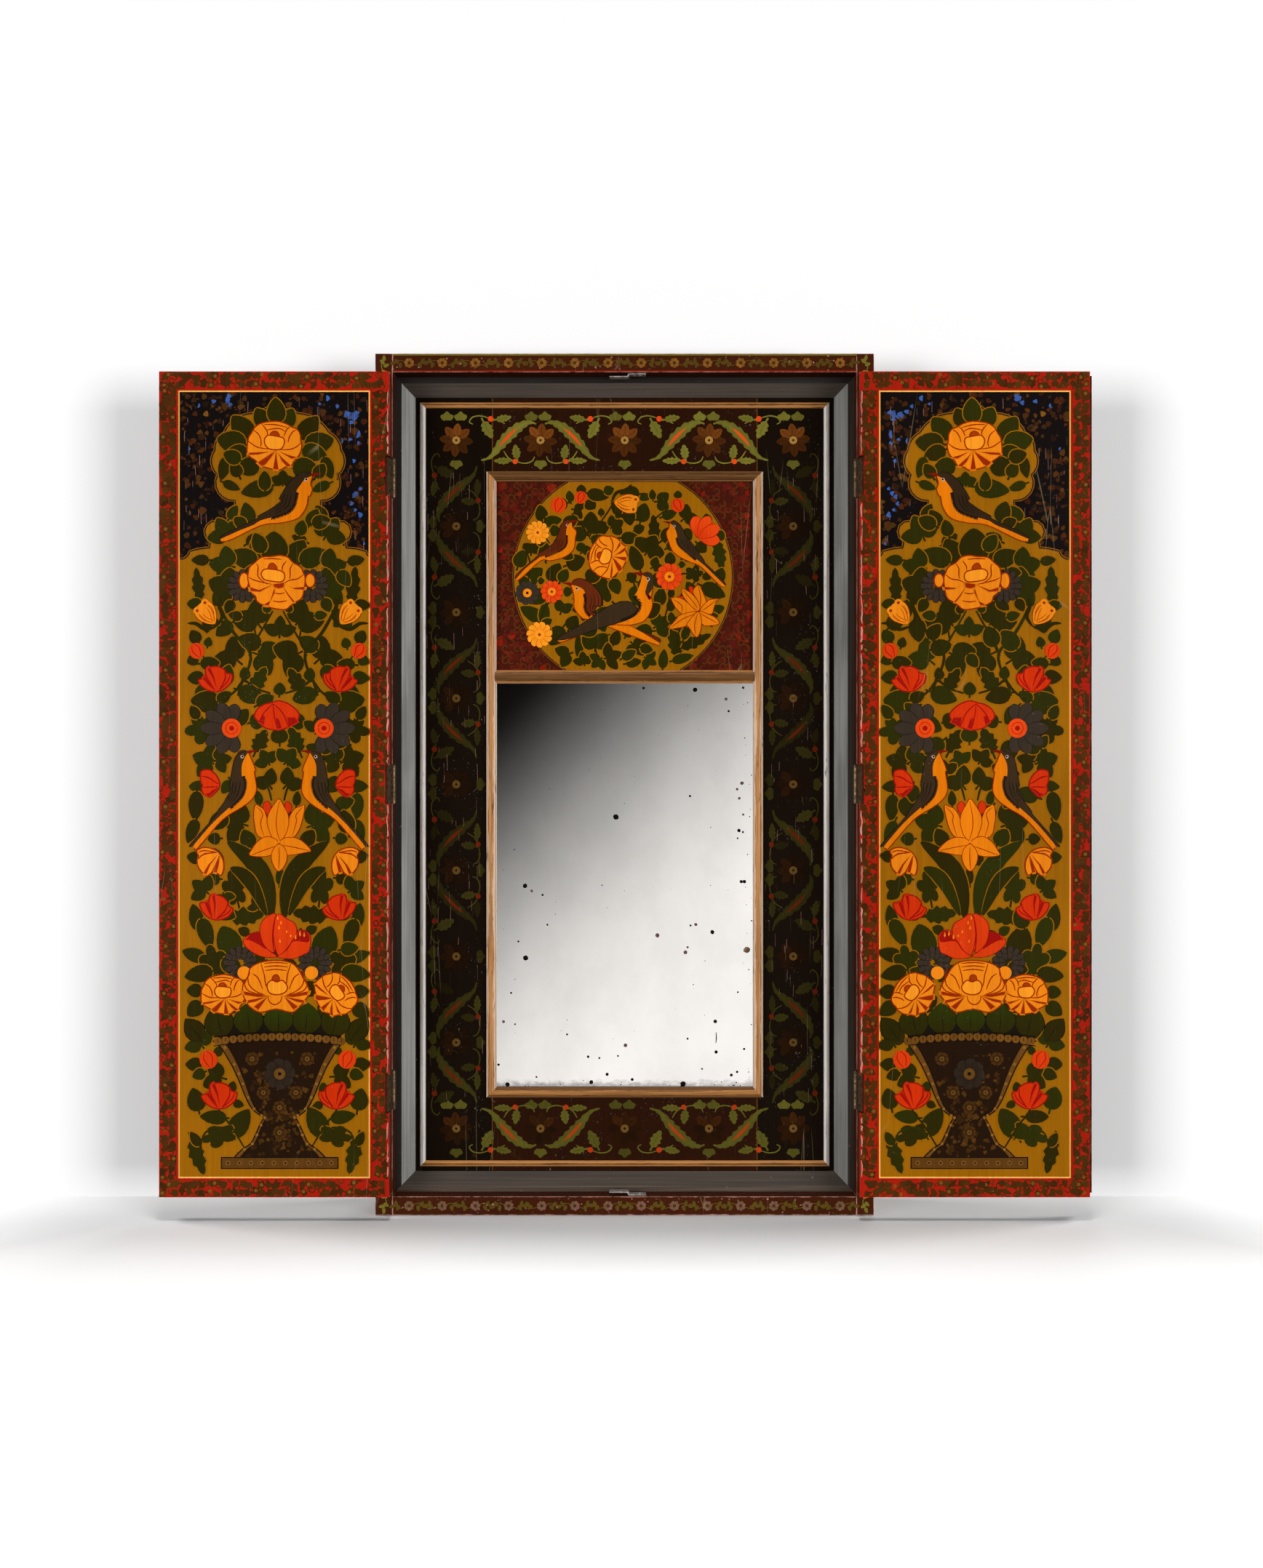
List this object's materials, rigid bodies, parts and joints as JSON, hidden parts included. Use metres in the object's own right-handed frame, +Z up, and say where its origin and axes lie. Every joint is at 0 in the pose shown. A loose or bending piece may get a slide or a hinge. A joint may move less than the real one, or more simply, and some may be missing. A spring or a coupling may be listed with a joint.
{
  "type": "lacquered mirror case with doors",
  "caption": "Shallow lacquered wooden case holding a framed mirror and a painted picture, closed by a pair of painted doors that swing right round on butt hinges.",
  "frame": {"origin": "centre of the case's underside, midway between its front and back", "axes": "+Z up, front of the case and mirror towards -Y, +X to the right as seen from the front"},
  "size_m": [0.7515, 0.081, 0.7],
  "materials": {
    "case_lacquer": "maroon-brown lacquer over painted wood, worn at the edges",
    "door_lacquer": "painted and varnished wood, red border around an ochre field",
    "bevel_paint": "blue-grey brushed paint under old varnish",
    "gilt_wood": "rubbed gilding on wood",
    "panel_lacquer": "near-black lacquer with painted foliage",
    "picture_paint": "painted and varnished wood",
    "silvered_glass": "old silvered plate glass with dark spots",
    "bare_wood": "plain planed wood, darkened with age",
    "brass": "dull hand-cut brass sheet",
    "iron": "dark wrought iron"
  },
  "bodies": {
    "case": {"case_left_side": "case_lacquer", "case_right_side": "case_lacquer", "case_top": "case_lacquer", "case_bottom": "case_lacquer", "bevel_left": "bevel_paint", "bevel_right": "bevel_paint", "bevel_top": "bevel_paint", "bevel_bottom": "bevel_paint", "bead_left": "gilt_wood", "bead_right": "gilt_wood", "bead_top": "gilt_wood", "bead_bottom": "gilt_wood", "mirror_frame_left": "gilt_wood", "mirror_frame_right": "gilt_wood", "mirror_frame_top": "gilt_wood", "mirror_frame_bottom": "gilt_wood", "mirror_crossbar": "gilt_wood", "panel_left_stile": "panel_lacquer", "panel_right_stile": "panel_lacquer", "panel_top_rail": "panel_lacquer", "panel_bottom_rail": "panel_lacquer", "bird_picture": "picture_paint", "mirror_glass": "silvered_glass", "back_plank_lower": "bare_wood", "back_plank_middle": "bare_wood", "back_plank_upper": "bare_wood", "batten_left": "bare_wood", "batten_right": "bare_wood", "mirror_backing": "bare_wood", "cleat_lower": "bare_wood", "cleat_middle": "bare_wood", "cleat_upper": "bare_wood", "bottom_keeper": "brass", "left_case_leaf_lower": "brass", "left_case_leaf_middle": "brass", "left_case_leaf_upper": "brass", "right_case_leaf_lower": "brass", "right_case_leaf_middle": "brass", "right_case_leaf_upper": "brass", "back_nails": "iron", "top_keeper": "iron", "keeper_nails": "iron", "left_hinge_pins": "iron", "right_hinge_pins": "iron", "left_case_leaf_nails": "iron", "right_case_leaf_nails": "iron"},
    "left_door": {"left_door_board": "door_lacquer", "left_door_leaf_lower": "brass", "left_door_leaf_middle": "brass", "left_door_leaf_upper": "brass", "left_door_leaf_nails": "iron"},
    "right_door": {"right_door_board": "door_lacquer", "right_door_leaf_lower": "brass", "right_door_leaf_middle": "brass", "right_door_leaf_upper": "brass", "right_door_leaf_nails": "iron", "meeting_strip": "case_lacquer"}
  },
  "joints": [
    {"name": "left_door_swing", "type": "hinge", "parent": "case", "child": "left_door", "pos_m": [-0.1875, -0.033, 0.35], "axis": [0, 0, 1], "range_deg": [0, 180]},
    {"name": "right_door_swing", "type": "hinge", "parent": "case", "child": "right_door", "pos_m": [0.1875, -0.033, 0.35], "axis": [0, 0, -1], "range_deg": [0, 180]}
  ]
}
